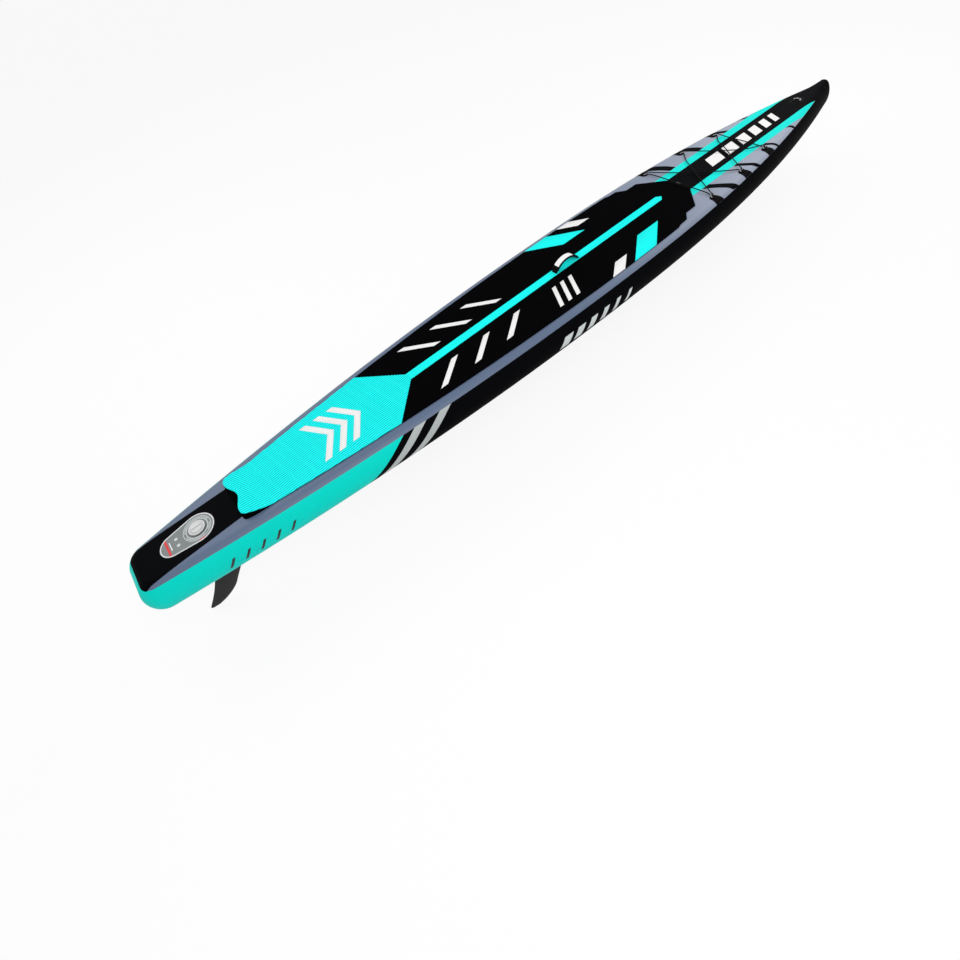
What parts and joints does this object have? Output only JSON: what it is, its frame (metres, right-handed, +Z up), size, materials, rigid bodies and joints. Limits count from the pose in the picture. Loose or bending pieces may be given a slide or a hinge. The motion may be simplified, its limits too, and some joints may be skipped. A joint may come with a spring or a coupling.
{
  "type": "stand up paddleboard",
  "caption": "Narrow inflatable race paddleboard with foam deck pad with a raised tail end, carry handle, bungee deck lacing, inflation valve, tow ring and a swept fin in a slotted box.",
  "frame": {"origin": "mid length on the centre line, on the outer face of the black band under the board", "axes": "+X to the nose, +Y to port, +Z up through the deck"},
  "size_m": [4.2681, 0.5836, 0.4612],
  "materials": {
    "hull_pvc_deck": "satin grey-blue coated fabric, lighter to the nose",
    "hull_pvc_bottom": "satin dark grey coated fabric",
    "rail_pvc": "satin black coated fabric",
    "turquoise_pvc": "satin turquoise coated fabric",
    "inner_tape": "bare coated tape inside the hull",
    "thread": "white polyester thread",
    "black_pvc": "satin black coated fabric",
    "panel_pvc": "satin white printed panel",
    "grey_pvc": "grey printed patch with a pale border",
    "black_foam": "brushed black EVA foam",
    "turquoise_foam": "brushed turquoise EVA foam",
    "white_foam": "brushed white EVA foam",
    "webbing": "woven black polyester webbing",
    "grip_fabric": "black neoprene-backed fabric",
    "white_vinyl": "white vinyl strip",
    "steel": "brushed stainless steel",
    "cord": "black braided elastic cord",
    "black_plastic": "moulded matt black",
    "grey_plastic": "moulded grey",
    "red_plastic": "moulded red",
    "black_rubber": "soft black rubber"
  },
  "bodies": {
    "board": {"deck_skin": "hull_pvc_deck", "bottom_skin": "hull_pvc_bottom", "side_wall_port": "rail_pvc", "side_wall_starboard": "rail_pvc", "tail_wrap": "turquoise_pvc", "deck_seam_tape": "inner_tape", "bottom_seam_tape": "inner_tape", "drop_threads": "thread", "deck_band_tail": "black_pvc", "deck_band_nose": "black_pvc", "bottom_band_front": "black_pvc", "bottom_band_tail": "black_pvc", "bottom_panel": "panel_pvc", "pad_base": "black_foam", "pad_kick": "black_foam", "pad_tail": "turquoise_foam", "pad_main": "black_foam", "pad_stripe": "turquoise_foam", "pad_dashes": "white_foam", "pad_flashes_turquoise": "turquoise_foam", "pad_flashes_white": "white_foam", "pad_chevrons": "white_foam", "pad_bars": "white_foam", "handle_anchors": "black_pvc", "handle_strap": "webbing", "handle_grip": "grip_fabric", "handle_panel": "white_vinyl", "bungee_patches": "black_pvc", "bungee_loops": "webbing", "bungee_rings": "steel", "bungee_cord": "cord", "bungee_joiner": "black_plastic", "nose_patch": "black_pvc", "nose_loop": "webbing", "valve_plate": "grey_pvc", "valve_body": "grey_plastic", "valve_gasket": "black_rubber", "valve_nut": "grey_plastic", "valve_spring": "steel", "fin_box_patch": "black_pvc", "fin_box": "black_plastic"},
    "nose_ring": {"nose_ring": "steel"},
    "valve_plunger": {"valve_plunger": "black_plastic", "valve_button": "red_plastic"},
    "valve_cap_lift": {"valve_cap_seal": "black_rubber"},
    "valve_cap": {"valve_cap": "grey_plastic"},
    "fin": {"fin": "black_plastic", "fin_pin": "steel", "fin_nut_plate": "steel"},
    "fin_screw": {"fin_screw": "steel"}
  },
  "joints": [
    {"name": "nose_ring_swing", "type": "hinge", "parent": "board", "child": "nose_ring", "pos_m": [1.822, 0, 0.1577], "axis": [0, -1, 0], "range_deg": [0, 165]},
    {"name": "valve_press", "type": "slide", "parent": "board", "child": "valve_plunger", "axis": [0, 0, -1], "range_m": [0, 0.005], "stiffness_N_per_m": 300, "springref_m": -0.004, "deforming": ["valve_spring"]},
    {"name": "valve_cap_lift", "type": "slide", "parent": "board", "child": "valve_cap_lift", "axis": [0, 0, 1], "range_m": [0, 0.06]},
    {"name": "valve_cap_turn", "type": "hinge", "parent": "valve_cap_lift", "child": "valve_cap", "pos_m": [-1.873, 0, 0.1656], "axis": [0, 0, 1], "continuous": true},
    {"name": "fin_slide", "type": "slide", "parent": "board", "child": "fin", "axis": [1, 0, 0], "range_m": [-0.018, 0.02]},
    {"name": "fin_screw_turn", "type": "hinge", "parent": "fin", "child": "fin_screw", "pos_m": [-1.688, 0, -0.0135], "axis": [0, 0, 1], "continuous": true}
  ]
}
